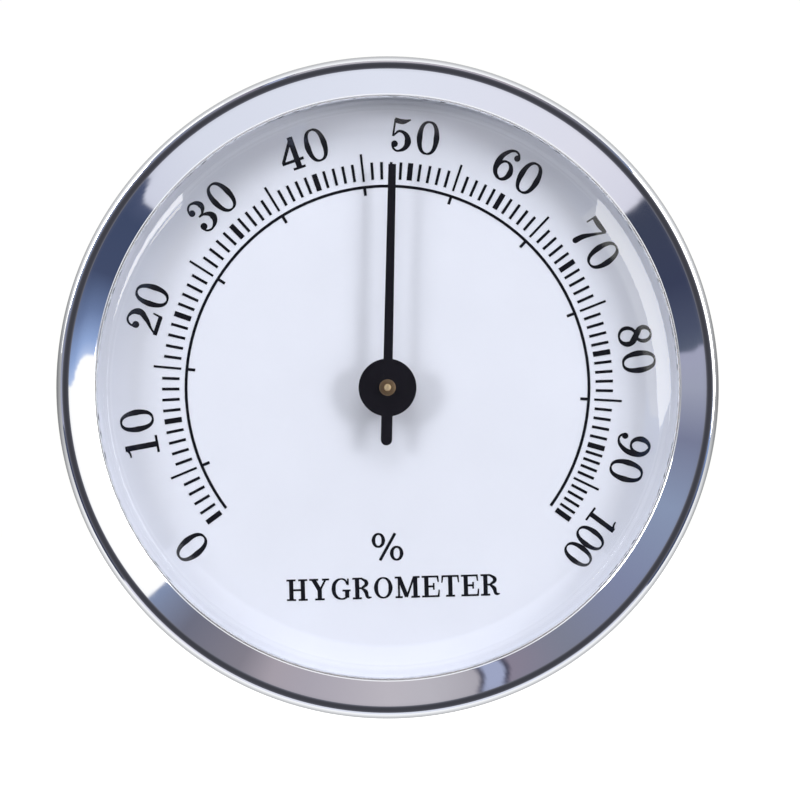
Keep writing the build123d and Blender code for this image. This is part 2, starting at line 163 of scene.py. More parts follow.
class PrintSettings(PropertyGroup):
    """The numerals, the per cent sign and the word on the dial"""

    ink: FloatProperty(
        name="Ink", description="Thickness of the printed ink", default=0.03 * MM, unit="LENGTH"
    )
    numeral_height: FloatProperty(
        name="Numeral height", description="Height of the numerals", default=2.87 * MM, unit="LENGTH"
    )
    numeral_radius: FloatProperty(
        name="Numeral radius",
        description="Radius of the numerals' middle",
        default=21.7 * MM,
        unit="LENGTH",
    )
    weight: FloatProperty(name="Weight", description="Pen width against the drawn strokes", default=1.08)
    digit_pitch: FloatProperty(
        name="Digit pitch", description="Width of one digit's place, in digit heights", default=0.8
    )
    last_scale: FloatProperty(
        name="Last numeral", description="Size of the three-digit numeral against the others", default=0.89
    )
    last_pitch: FloatProperty(
        name="Last pitch", description="Digit pitch of the three-digit numeral", default=0.68
    )
    sign_height: FloatProperty(
        name="Sign height", description="Height of the per cent sign", default=2.35 * MM, unit="LENGTH"
    )
    sign_drop: FloatProperty(
        name="Sign drop",
        description="How far the sign's middle is below the axis",
        default=13.7 * MM,
        unit="LENGTH",
    )
    word_height: FloatProperty(
        name="Word height", description="Height of the word's capitals", default=1.84 * MM, unit="LENGTH"
    )
    word_gap: FloatProperty(
        name="Word gap", description="Gap between letters, in capital heights", default=0.09
    )
    word_drop: FloatProperty(
        name="Word drop",
        description="How far the word's middle is below the axis",
        default=17.2 * MM,
        unit="LENGTH",
    )
    word_shift: FloatProperty(
        name="Word shift",
        description="How far the word's middle is to the right",
        default=0.5 * MM,
        unit="LENGTH",
    )
    word_turn: FloatProperty(
        name="Word turn",
        description="Slight turn of the printed word",
        default=math.radians(1.6),
        subtype="ANGLE",
    )
    enamel: FloatVectorProperty(
        name="Enamel", description="Colour of the dial", default=(0.80, 0.82, 0.91), subtype="COLOR"
    )


class EdgeSettings(PropertyGroup):
    """Broken edges, and how finely round pieces are spun"""

    fine: FloatProperty(
        name="Fine edge",
        description="Broken edge of the pointer and the turned pieces",
        default=0.04 * MM,
        unit="LENGTH",
    )
    moulded: FloatProperty(
        name="Moulded edge",
        description="Rounded edge of the moulded pieces",
        default=0.12 * MM,
        unit="LENGTH",
    )
    steps: IntProperty(name="Steps", description="Steps round a spun piece", default=256, min=32)


class FinishSettings(PropertyGroup):
    """Colours of the turned, moulded and plain pieces"""

    spacer: FloatVectorProperty(
        name="Spacer",
        description="Colour of the spacer ring",
        default=(0.72, 0.74, 0.82),
        subtype="COLOR",
    )
    gasket: FloatVectorProperty(
        name="Gasket",
        description="Colour of the lens gasket",
        default=(0.02, 0.02, 0.022),
        subtype="COLOR",
    )
    collet: FloatVectorProperty(
        name="Collet",
        description="Colour of the pointer's brass collet",
        default=(0.54, 0.37, 0.21),
        subtype="COLOR",
    )
    shaft: FloatVectorProperty(
        name="Shaft",
        description="Colour of the pointer's shaft",
        default=(1.0, 0.76, 0.46),
        subtype="COLOR",
    )
    case: FloatVectorProperty(
        name="Case",
        description="Colour of the moulded case",
        default=(0.022, 0.022, 0.024),
        subtype="COLOR",
    )
    hub: FloatVectorProperty(
        name="Hub",
        description="Colour of the calibration hub",
        default=(0.72, 0.53, 0.27),
        subtype="COLOR",
    )
    plates: FloatVectorProperty(
        name="Plates",
        description="Colour of the movement's brass pieces",
        default=(0.7, 0.52, 0.28),
        subtype="COLOR",
    )
    screws: FloatVectorProperty(
        name="Screws",
        description="Colour of the screws and the friction washer",
        default=(0.56, 0.56, 0.58),
        subtype="COLOR",
    )
    coil: FloatVectorProperty(
        name="Coil",
        description="Colour of the humidity coil",
        default=(0.6, 0.42, 0.25),
        subtype="COLOR",
    )


class StageSettings(PropertyGroup):
    """The camera, the floor and the cards"""

    distance: FloatProperty(
        name="Camera distance",
        description="From the flange plane to the camera",
        default=1.0,
        unit="LENGTH",
    )
    field: FloatProperty(
        name="Field", description="Width seen at the bezel's ridge", default=68.54 * MM, unit="LENGTH"
    )
    floor_drop: FloatProperty(
        name="Floor drop", description="How far the floor is below the axis", default=52 * MM, unit="LENGTH"
    )
    floor_radius: FloatProperty(
        name="Floor radius", description="Radius of the round floor", default=3.0, unit="LENGTH"
    )
    card_distance: FloatProperty(
        name="Card distance", description="From the dial to the reflector cards", default=0.5, unit="LENGTH"
    )
    room_white: FloatProperty(
        name="Room white", description="Strength of the room as the eye sees it", default=1.02
    )
    room_light: FloatProperty(
        name="Room light", description="Strength of the room's soft light on the pieces", default=0.21
    )
    view_shift: FloatProperty(
        name="View shift",
        description="Shift of the view to the right and down, in picture widths",
        default=0.0156,
    )


class HygrometerSettings(PropertyGroup):
    """All settings of the dial hygrometer"""

    bezel: PointerProperty(type=BezelSettings)
    lens: PointerProperty(type=LensSettings)
    printing: PointerProperty(type=PrintSettings)
    edges: PointerProperty(type=EdgeSettings)
    finishes: PointerProperty(type=FinishSettings)
    stage: PointerProperty(type=StageSettings)


# ---------------------------------------------------------------- mesh helpers


def section_mesh(points):
    """A closed outline of (radius, height) corners as the edges of a new bmesh."""
    bm = bmesh.new()
    verts = [bm.verts.new((radius, -height, 0)) for radius, height in points]
    for first, second in zip(verts, verts[1:] + verts[:1]):
        bm.edges.new((first, second))
    return bm


def arc(centre, radius, first, last, steps):
    """Points on an arc, at angles from the axis direction towards larger radii."""
    turns = (first + (last - first) * step / steps for step in range(steps + 1))
    return [(centre[0] + radius * math.sin(turn), centre[1] + radius * math.cos(turn)) for turn in turns]


def bend(points, corner, radius, segments):
    """The outline with one corner turned into an arc of that radius."""
    before, here, after = (Vector(points[(corner + step) % len(points)]) for step in (-1, 0, 1))
    to_before, to_after = (before - here).normalized(), (after - here).normalized()
    half = to_before.angle(to_after) / 2
    centre = here + (to_before + to_after).normalized() * radius / math.sin(half)
    start = here + to_before * radius / math.tan(half) - centre
    turn = start.angle_signed(here + to_after * radius / math.tan(half) - centre)
    rounded = [
        tuple(centre + Matrix.Rotation(-turn * step / segments, 2) @ start) for step in range(segments + 1)
    ]
    return points[:corner] + rounded + points[corner + 1 :]


def crowned(points, start, rise, steps):
    """The outline with the run that starts at one point bulged towards the front."""
    here, after = Vector(points[start]), Vector(points[start + 1])
    run = after - here
    out = Vector((run.y, -run.x)).normalized() * rise
    shares = (step / steps for step in range(1, steps))
    bulge = [tuple(here + run * share + out * 4 * share * (1 - share)) for share in shares]
    return points[: start + 1] + bulge + points[start + 1 :]


def brace(points, margin):
    """The closed outline with a point near each end of every long run, so that its shading stays flat."""
    braced = []
    for here, after in zip(points, points[1:] + points[:1]):
        here, after = Vector(here), Vector(after)
        run = after - here
        braced.append(tuple(here))
        if run.length > 8 * margin:
            braced.append(tuple(here + run.normalized() * margin))
            braced.append(tuple(after - run.normalized() * margin))
    return braced


def turn_round(bm, steps):
    """Turns the edges of a bmesh once about the dial's axis."""
    geometry = bm.verts[:] + bm.edges[:]
    bmesh.ops.spin(
        bm, geom=geometry, cent=(0, 0, 0), axis=AXIS, angle=math.tau, steps=steps, use_merge=True
    )


def spun(points, steps):
    """A closed outline turned once about the dial's axis, with its faces outwards."""
    bm = section_mesh(points)
    turn_round(bm, steps)
    bmesh.ops.remove_doubles(bm, verts=bm.verts, dist=MERGE)
    loose = [edge for edge in bm.edges if not edge.link_faces]
    bmesh.ops.delete(bm, geom=loose, context="EDGES")
    bmesh.ops.recalc_face_normals(bm, faces=bm.faces)
    return bm


def add_object(name, bm, material):
    """A new object at the origin from a bmesh, smooth except at its sharp edges."""
    mesh = bpy.data.meshes.new(name)
    bm.to_mesh(mesh)
    bm.free()
    mesh.materials.append(material)
    mesh.shade_smooth()
    mesh.set_sharp_from_angle(angle=SHARP_ANGLE)
    obj = bpy.data.objects.new(name, mesh)
    bpy.context.scene.collection.objects.link(obj)
    return obj


def add_piece(name, bm, material, body):
    """A new piece that rides on a body, with its material."""
    obj = add_object(name, bm, material)
    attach(obj, body)
    return obj


def finished_copy(node, name, material, edge):
    """A merged copy of a CAD node with its sharp edges broken, standing for the node."""
    bm = bmesh.new()
    bm.from_mesh(frame["nodes"][node].data)
    bmesh.ops.remove_doubles(bm, verts=bm.verts, dist=MERGE)
    bmesh.ops.dissolve_limit(bm, angle_limit=math.radians(0.5), verts=bm.verts, edges=bm.edges)
    sharp = [e for e in bm.edges if len(e.link_faces) == 2 and e.calc_face_angle(0) > SHARP_ANGLE]
    bmesh.ops.bevel(
        bm,
        geom=sharp,
        offset=edge,
        segments=2,
        profile=0.5,
        affect="EDGES",
        material=-1,
        clamp_overlap=True,
    )
    piece = add_piece(name, bm, material, BODY_OF[node])
    flatten = piece.modifiers.new("flat faces stay flat", "WEIGHTED_NORMAL")
    flatten.keep_sharp = True
    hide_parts(node)
    return piece


def refinish(node, material):
    """Puts a material on a CAD node that stays as it is."""
    mesh_slots = frame["nodes"][node].material_slots
    if not mesh_slots:
        raise RuntimeError(f"{node} has no material slot")
    for mesh_slot in mesh_slots:
        mesh_slot.material = material


# ---------------------------------------------------------------- node helpers


def add_group(name, inputs, outputs):
    """A new shader node group with named sockets, and its input and output nodes."""
    group = bpy.data.node_groups.new(name, "ShaderNodeTree")
    for label, kind, default in inputs:
        socket = group.interface.new_socket(label, in_out="INPUT", socket_type=kind)
        if default is not None:
            socket.default_value = default
    for label, kind in outputs:
        group.interface.new_socket(label, in_out="OUTPUT", socket_type=kind)
    return group, group.nodes.new("NodeGroupInput"), group.nodes.new("NodeGroupOutput")


def add_math(tree, operation, first, second):
    """A math node whose inputs are sockets or numbers; gives its output."""
    node = tree.nodes.new("ShaderNodeMath")
    node.operation = operation
    for socket, value in zip(node.inputs, (first, second)):
        if isinstance(value, (int, float)):
            socket.default_value = value
        else:
            tree.links.new(value, socket)
    return node.outputs["Value"]


def add_range(tree, value, start, end, low, high):
    """A node that maps a value from the range start to end onto the range low to high."""
    node = tree.nodes.new("ShaderNodeMapRange")
    for label, number in zip(("From Min", "From Max", "To Min", "To Max"), (start, end, low, high)):
        node.inputs[label].default_value = number
    tree.links.new(value, node.inputs["Value"])
    return node


def grain_group():
    """Fine grain with a broad cloudiness over it, as on moulded, painted or printed surfaces."""
    name = "surface grain"
    if name in bpy.data.node_groups:
        return bpy.data.node_groups[name]
    group, given, result = add_group(
        name,
        [
            ("Coordinates", "NodeSocketVector", None),
            ("Grain Scale", "NodeSocketFloat", 4000.0),
            ("Cloud Scale", "NodeSocketFloat", 120.0),
            ("Cloud Amount", "NodeSocketFloat", 0.5),
        ],
        [("Grain", "NodeSocketFloat"), ("Cloud", "NodeSocketFloat"), ("Height", "NodeSocketFloat")],
    )
    links = group.links
    grain = group.nodes.new("ShaderNodeTexNoise")
    grain.inputs["Detail"].default_value = 4.0
    cloud = group.nodes.new("ShaderNodeTexNoise")
    cloud.inputs["Detail"].default_value = 3.0
    links.new(given.outputs["Coordinates"], grain.inputs["Vector"])
    links.new(given.outputs["Coordinates"], cloud.inputs["Vector"])
    links.new(given.outputs["Grain Scale"], grain.inputs["Scale"])
    links.new(given.outputs["Cloud Scale"], cloud.inputs["Scale"])
    weighed = add_math(group, "MULTIPLY", cloud.outputs["Fac"], given.outputs["Cloud Amount"])
    height = add_math(group, "ADD", grain.outputs["Fac"], weighed)
    links.new(grain.outputs["Fac"], result.inputs["Grain"])
    links.new(cloud.outputs["Fac"], result.inputs["Cloud"])
    links.new(height, result.inputs["Height"])
    return group


def turning_group():
    """Fine rings about the axis, as a lathe or a polishing wheel leaves them."""
    name = "turning marks"
    if name in bpy.data.node_groups:
        return bpy.data.node_groups[name]
    group, given, result = add_group(
        name,
        [
            ("Coordinates", "NodeSocketVector", None),
            ("Ring Scale", "NodeSocketFloat", 4000.0),
            ("Waver", "NodeSocketFloat", 2.0),
        ],
        [("Rings", "NodeSocketFloat"), ("Smudge", "NodeSocketFloat")],
    )
    links = group.links
    rings = group.nodes.new("ShaderNodeTexWave")
    rings.wave_type = "RINGS"
    rings.rings_direction = "Y"
    rings.inputs["Detail"].default_value = 3.0
    rings.inputs["Detail Scale"].default_value = 2.0
    smudge = group.nodes.new("ShaderNodeTexNoise")
    smudge.inputs["Scale"].default_value = 260.0
    smudge.inputs["Detail"].default_value = 5.0
    links.new(given.outputs["Coordinates"], rings.inputs["Vector"])
    links.new(given.outputs["Coordinates"], smudge.inputs["Vector"])
    links.new(given.outputs["Ring Scale"], rings.inputs["Scale"])
    links.new(given.outputs["Waver"], rings.inputs["Distortion"])
    links.new(rings.outputs["Fac"], result.inputs["Rings"])
    links.new(smudge.outputs["Fac"], result.inputs["Smudge"])
    return group


class Surface:
    """A material under construction: its tree, its Principled shader and its object coordinates."""

    def __init__(self, name, colour, metallic, roughness):
        self.material = bpy.data.materials.new(name)
        self.material.use_nodes = True
        self.tree = self.material.node_tree
        self.shader = self.tree.nodes["Principled BSDF"]
        self.shader.inputs["Base Color"].default_value = (*colour, 1)
        self.shader.inputs["Metallic"].default_value = metallic
        self.shader.inputs["Roughness"].default_value = roughness
        self.coordinates = self.tree.nodes.new("ShaderNodeTexCoord").outputs["Object"]

    def effect(self, group, **values):
        """Places a node group on the object's coordinates, with its own values."""
        node = self.tree.nodes.new("ShaderNodeGroup")
        node.node_tree = group
        self.tree.links.new(self.coordinates, node.inputs["Coordinates"])
        for label, value in values.items():
            node.inputs[label.replace("_", " ")].default_value = value
        return node

    def vary(self, mask, socket, low, high):
        """Lets a mask drive a number on the shader between two values."""
        spread = add_range(self.tree, mask, MASK_LOW, MASK_HIGH, low, high)
        self.tree.links.new(spread.outputs["Result"], self.shader.inputs[socket])

    def tint(self, mask, first, second):
        """Lets a mask blend the base colour between two colours."""
        mix = self.tree.nodes.new("ShaderNodeMix")
        mix.data_type = "RGBA"
        # The colour sockets of a Mix node are its inputs 6 and 7 and its output 2.
        colour_a, colour_b = mix.inputs[6], mix.inputs[7]
        colour_a.default_value = (*first, 1)
        colour_b.default_value = (*second, 1)
        self.tree.links.new(mask, mix.inputs["Factor"])
        self.tree.links.new(mix.outputs[2], self.shader.inputs["Base Color"])

    def emboss(self, height, strength, distance):
        """Lets a height move the shading normal."""
        bump = self.tree.nodes.new("ShaderNodeBump")
        bump.inputs["Strength"].default_value = strength
        bump.inputs["Distance"].default_value = distance
        self.tree.links.new(height, bump.inputs["Height"])
        self.tree.links.new(bump.outputs["Normal"], self.shader.inputs["Normal"])


def scaled(colour, factor):
    """A colour made darker or lighter."""
    return tuple(min(1.0, part * factor) for part in colour)


# ---------------------------------------------------------------- materials


def chrome_material(colour):
    """Bright plated sheet with the faint waviness and wipe marks of polishing."""
    surface = Surface("chrome plate", colour, 1.0, 0.03)
    marks = surface.effect(turning_group(), Ring_Scale=900.0, Waver=6.0)
    clouds = surface.effect(grain_group(), Grain_Scale=160.0, Cloud_Scale=45.0, Cloud_Amount=1.2)
    surface.vary(marks.outputs["Smudge"], "Roughness", 0.015, 0.06)
    surface.tint(clouds.outputs["Cloud"], scaled(colour, 0.97), scaled(colour, 1.02))
    surface.emboss(clouds.outputs["Height"], 0.05, 0.02 * MM)
    return surface.material


def acrylic_material():
    """Clear acrylic that lets light through to the dial without a dark shadow."""
    surface = Surface("clear acrylic", (0.985, 0.99, 0.995), 0.0, 0.0)
    tree = surface.tree
    surface.shader.inputs["IOR"].default_value = 1.49
    surface.shader.inputs["Transmission Weight"].default_value = 1.0
    marks = surface.effect(grain_group(), Grain_Scale=900.0, Cloud_Scale=70.0, Cloud_Amount=0.6)
    surface.vary(marks.outputs["Cloud"], "Roughness", 0.0, 0.025)
    clear = tree.nodes.new("ShaderNodeBsdfTransparent")
    clear.inputs["Color"].default_value = (0.965, 0.97, 0.98, 1)
    path = tree.nodes.new("ShaderNodeLightPath")
    passing = add_math(tree, "MAXIMUM", path.outputs["Is Shadow Ray"], path.outputs["Is Diffuse Ray"])
    mix = tree.nodes.new("ShaderNodeMixShader")
    output = tree.nodes["Material Output"]
    tree.links.new(passing, mix.inputs["Fac"])
    tree.links.new(surface.shader.outputs["BSDF"], mix.inputs[1])
    tree.links.new(clear.outputs["BSDF"], mix.inputs[2])
    tree.links.new(mix.outputs["Shader"], output.inputs["Surface"])
    return surface.material


def enamel_material(colour):
    """Satin enamel on the dial, with the faint mottling of a sprayed coat."""
    surface = Surface("dial enamel", colour, 0.0, 0.4)
    surface.shader.inputs["Specular IOR Level"].default_value = 0.25
    coat = surface.effect(grain_group(), Grain_Scale=5200.0, Cloud_Scale=210.0, Cloud_Amount=0.4)
    surface.tint(coat.outputs["Cloud"], scaled(colour, 0.965), scaled(colour, 1.03))
    surface.vary(coat.outputs["Grain"], "Roughness", 0.34, 0.5)
    surface.emboss(coat.outputs["Height"], 0.12, 0.01 * MM)
    return surface.material


def ink_material():
    """Black printing ink, slightly uneven in its cover, made once for all the print."""
    name = "printing ink"
    if name in bpy.data.materials:
        return bpy.data.materials[name]
    surface = Surface(name, (0.003, 0.003, 0.006), 0.0, 0.55)
    surface.shader.inputs["Specular IOR Level"].default_value = 0.1
    cover = surface.effect(grain_group(), Grain_Scale=7000.0, Cloud_Scale=700.0, Cloud_Amount=0.5)
    surface.tint(cover.outputs["Grain"], (0.002, 0.002, 0.0045), (0.005, 0.005, 0.009))
    surface.vary(cover.outputs["Cloud"], "Roughness", 0.45, 0.65)
    return surface.material


def pointer_material():
    """Black satin paint on the pointer."""
    surface = Surface("pointer paint", (0.004, 0.0035, 0.006), 0.0, 0.45)
    surface.shader.inputs["Specular IOR Level"].default_value = 0.15
    coat = surface.effect(grain_group(), Grain_Scale=6000.0, Cloud_Scale=400.0, Cloud_Amount=0.6)
    surface.tint(coat.outputs["Cloud"], (0.0025, 0.002, 0.004), (0.006, 0.005, 0.009))
    surface.vary(coat.outputs["Grain"], "Roughness", 0.4, 0.55)
    surface.emboss(coat.outputs["Height"], 0.15, 0.008 * MM)
    return surface.material


def turned_material(name, colour, roughness, ring_scale):
    """Turned or drawn metal with lathe rings and a little tarnish."""
    surface = Surface(name, colour, 1.0, roughness)
    marks = surface.effect(turning_group(), Ring_Scale=ring_scale, Waver=1.5)
    surface.vary(marks.outputs["Smudge"], "Roughness", roughness * 0.75, roughness * 1.4)
    surface.tint(marks.outputs["Smudge"], scaled(colour, 0.8), scaled(colour, 1.08))
    surface.emboss(marks.outputs["Rings"], 0.25, 0.006 * MM)
    return surface.material


def moulded_material(name, colour, roughness, grain_scale, depth):
    """Moulded plastic or rubber with a fine spark-eroded grain."""
    surface = Surface(name, colour, 0.0, roughness)
    grain = surface.effect(grain_group(), Grain_Scale=grain_scale, Cloud_Scale=150.0, Cloud_Amount=0.7)
    surface.tint(grain.outputs["Cloud"], scaled(colour, 0.8), scaled(colour, 1.25))
    surface.vary(grain.outputs["Grain"], "Roughness", roughness * 0.85, roughness * 1.15)
    surface.emboss(grain.outputs["Height"], 0.5, depth)
    return surface.material


# ---------------------------------------------------------------- printed figures

# Each figure is drawn with pen strokes in a unit of its own height: x to the right, y up from the
# foot, and the pen's width at each point. A ball is (x, y, radius). Loops are closed strokes. The 9
# is the 6 turned by half a turn.
FIGURES = {
    "0": {
        "width": 0.67,
        "loops": [
            [(0.335, 0.972, 0.055), (0.588, 0.5, 0.165), (0.335, 0.028, 0.055), (0.082, 0.5, 0.165)],
        ],
    },
    "1": {
        "width": 0.52,
        "strokes": [
            [(0.28, 0.02, 0.155), (0.28, 0.99, 0.155)],
            [(0.27, 0.96, 0.07), (0.14, 0.88, 0.06), (0.0, 0.86, 0.045)],
            [(0.02, 0.035, 0.07), (0.54, 0.035, 0.07)],
        ],
    },
    "2": {
        "width": 0.64,
        "balls": [(0.145, 0.69, 0.1)],
        "strokes": [
            [
                (0.07, 0.72, 0.05), (0.14, 0.91, 0.06), (0.32, 0.972, 0.06), (0.545, 0.73, 0.185),
                (0.4, 0.45, 0.13), (0.17, 0.22, 0.06), (0.05, 0.06, 0.05),
            ],
            [(0.02, 0.06, 0.115), (0.59, 0.06, 0.115)],
            [(0.58, 0.02, 0.06), (0.625, 0.3, 0.045)],
        ],
    },
    "3": {
        "width": 0.65,
        "balls": [(0.145, 0.75, 0.095), (0.135, 0.235, 0.1)],
        "strokes": [
            [
                (0.075, 0.8, 0.05), (0.16, 0.935, 0.06), (0.32, 0.972, 0.06), (0.505, 0.76, 0.165),
                (0.37, 0.555, 0.06), (0.22, 0.53, 0.05),
            ],
            [
                (0.22, 0.53, 0.05), (0.38, 0.5, 0.07), (0.55, 0.27, 0.185), (0.31, 0.03, 0.06),
                (0.13, 0.075, 0.06), (0.06, 0.2, 0.05),
            ],
        ],
    },
    "4": {
        "width": 0.68,
        "strokes": [
            [(0.5, 0.97, 0.09), (0.03, 0.29, 0.09)],
            [(0.465, 0.98, 0.155), (0.465, 0.03, 0.155)],
            [(0.0, 0.275, 0.08), (0.67, 0.275, 0.08)],
            [(0.27, 0.035, 0.07), (0.65, 0.035, 0.07)],
        ],
    },
    "5": {
        "width": 0.64,
        "balls": [(0.14, 0.225, 0.095)],
        "strokes": [
            [(0.075, 0.925, 0.14), (0.33, 0.9, 0.14), (0.55, 0.975, 0.04)],
            [(0.09, 0.95, 0.055), (0.07, 0.45, 0.055)],
            [
                (0.07, 0.46, 0.05), (0.28, 0.615, 0.07), (0.53, 0.32, 0.185), (0.28, 0.03, 0.06),
                (0.13, 0.08, 0.06), (0.065, 0.2, 0.05),
            ],
        ],
    },
    "6": {
        "width": 0.66,
        "balls": [(0.53, 0.815, 0.09)],
        "strokes": [
            [
                (0.585, 0.85, 0.05), (0.52, 0.935, 0.06), (0.38, 0.972, 0.06), (0.16, 0.78, 0.12),
                (0.088, 0.46, 0.17), (0.17, 0.14, 0.12), (0.36, 0.03, 0.06),
            ],
        ],
        "loops": [[(0.34, 0.58, 0.06), (0.565, 0.305, 0.165), (0.34, 0.03, 0.06), (0.13, 0.305, 0.1)]],
    },
    "7": {
        "width": 0.64,
        "balls": [(0.285, 0.08, 0.083)],
        "strokes": [
            [(0.04, 0.925, 0.13), (0.3, 0.915, 0.15), (0.6, 0.935, 0.1)],
            [(0.045, 0.99, 0.05), (0.03, 0.67, 0.045)],
            [(0.61, 0.95, 0.05), (0.43, 0.58, 0.09), (0.315, 0.3, 0.145), (0.285, 0.08, 0.166)],
        ],
    },
    "8": {
        "width": 0.66,
        "loops": [
            [(0.335, 0.972, 0.055), (0.535, 0.76, 0.11), (0.335, 0.53, 0.07), (0.125, 0.76, 0.13)],
            [(0.335, 0.54, 0.07), (0.565, 0.27, 0.15), (0.335, 0.028, 0.055), (0.08, 0.25, 0.11)],
        ],
        "strokes": [[(0.16, 0.67, 0.12), (0.34, 0.53, 0.16), (0.52, 0.37, 0.13)]],
    },
    "%": {
        "width": 1.17,
        "loops": [
            [(0.25, 0.97, 0.07), (0.43, 0.735, 0.13), (0.25, 0.5, 0.07), (0.07, 0.735, 0.13)],
            [(0.92, 0.5, 0.07), (1.1, 0.265, 0.13), (0.92, 0.03, 0.07), (0.74, 0.265, 0.13)],
        ],
        "strokes": [[(0.86, 1.0, 0.102), (0.31, 0.0, 0.102)]],
    },
    "E": {
        "width": 0.83,
        "strokes": [
            [(0.22, 0.02, 0.185), (0.22, 0.98, 0.185)],
            [(0.0, 0.96, 0.085), (0.78, 0.96, 0.085)],
            [(0.22, 0.5, 0.09), (0.56, 0.5, 0.09)],
            [(0.0, 0.04, 0.085), (0.8, 0.04, 0.085)],
            [(0.74, 0.99, 0.085), (0.775, 0.7, 0.06)],
            [(0.56, 0.66, 0.075), (0.56, 0.34, 0.075)],
            [(0.775, 0.01, 0.085), (0.81, 0.34, 0.06)],
        ],
    },
    "G": {
        "width": 0.9,
        "strokes": [
            [
                (0.745, 0.7, 0.06), (0.65, 0.9, 0.09), (0.45, 0.965, 0.07), (0.2, 0.82, 0.14),
                (0.11, 0.5, 0.185), (0.2, 0.18, 0.14), (0.45, 0.035, 0.07), (0.66, 0.08, 0.09),
                (0.76, 0.2, 0.12),
            ],
            [(0.735, 0.42, 0.18), (0.735, 0.08, 0.18)],
            [(0.52, 0.42, 0.085), (0.9, 0.42, 0.085)],
            [(0.785, 0.98, 0.07), (0.785, 0.67, 0.07)],
        ],
    },
    "H": {
        "width": 0.98,
        "strokes": [
            [(0.22, 0.02, 0.185), (0.22, 0.98, 0.185)],
            [(0.76, 0.02, 0.185), (0.76, 0.98, 0.185)],
            [(0.22, 0.5, 0.09), (0.76, 0.5, 0.09)],
            [(0.0, 0.96, 0.085), (0.43, 0.96, 0.085)],
            [(0.55, 0.96, 0.085), (0.98, 0.96, 0.085)],
            [(0.0, 0.04, 0.085), (0.43, 0.04, 0.085)],
            [(0.55, 0.04, 0.085), (0.98, 0.04, 0.085)],
        ],
    },
    "M": {
        "width": 1.17,
        "strokes": [
            [(0.19, 0.02, 0.09), (0.19, 0.98, 0.09)],
            [(0.96, 0.02, 0.185), (0.96, 0.98, 0.185)],
            [(0.21, 0.97, 0.18), (0.55, 0.05, 0.18)],
            [(0.55, 0.03, 0.09), (0.9, 0.97, 0.09)],
            [(0.0, 0.96, 0.085), (0.3, 0.96, 0.085)],
            [(0.86, 0.96, 0.085), (1.17, 0.96, 0.085)],
            [(0.02, 0.04, 0.085), (0.36, 0.04, 0.085)],
            [(0.76, 0.04, 0.085), (1.17, 0.04, 0.085)],
        ],
    },
    "O": {
        "width": 0.9,
        "loops": [[(0.45, 0.965, 0.07), (0.79, 0.5, 0.185), (0.45, 0.035, 0.07), (0.11, 0.5, 0.185)]],
    },
    "R": {
        "width": 0.9,
        "strokes": [
            [(0.22, 0.02, 0.185), (0.22, 0.98, 0.185)],
            [(0.0, 0.96, 0.085), (0.46, 0.96, 0.085)],
            [(0.44, 0.96, 0.085), (0.66, 0.74, 0.172), (0.44, 0.51, 0.085)],
            [(0.22, 0.51, 0.085), (0.46, 0.51, 0.085)],
            [(0.44, 0.5, 0.085), (0.62, 0.34, 0.172), (0.72, 0.08, 0.13), (0.89, 0.07, 0.05)],
            [(0.0, 0.04, 0.085), (0.43, 0.04, 0.085)],
        ],
    },
    "T": {
        "width": 0.83,
        "strokes": [
            [(0.415, 0.02, 0.185), (0.415, 0.98, 0.185)],
            [(0.03, 0.96, 0.085), (0.8, 0.96, 0.085)],
            [(0.06, 0.99, 0.085), (0.025, 0.66, 0.06)],
            [(0.77, 0.99, 0.085), (0.805, 0.66, 0.06)],
            [(0.2, 0.04, 0.085), (0.63, 0.04, 0.085)],
        ],
    },
    "Y": {
        "width": 0.93,
        "strokes": [
            [(0.19, 0.97, 0.185), (0.48, 0.46, 0.185)],
            [(0.76, 0.97, 0.09), (0.5, 0.48, 0.09)],
            [(0.475, 0.52, 0.185), (0.475, 0.02, 0.185)],
            [(0.0, 0.96, 0.085), (0.42, 0.96, 0.085)],
            [(0.59, 0.96, 0.085), (0.93, 0.96, 0.085)],
            [(0.25, 0.04, 0.085), (0.7, 0.04, 0.085)],
        ],
    },
}


def ball_loop(x, y, radius):
    """A filled round end as a closed stroke whose pen reaches its middle."""
    turns = (math.tau * eighth / 8 for eighth in range(8))
    return [(x + radius / 2 * math.cos(turn), y + radius / 2 * math.sin(turn), radius) for turn in turns]


def draw_stroke(curve, points, closed):
    """One pen stroke as a smooth spline whose radius is half of the pen's width."""
    spline = curve.splines.new("BEZIER")
    spline.bezier_points.add(len(points) - 1)
    spline.use_cyclic_u = closed
    spline.resolution_u = 8
    for point, (x, y, width) in zip(spline.bezier_points, points):
        point.co = (x, y, 0)
        point.radius = width / 2
        point.handle_left_type = "AUTO"
        point.handle_right_type = "AUTO"


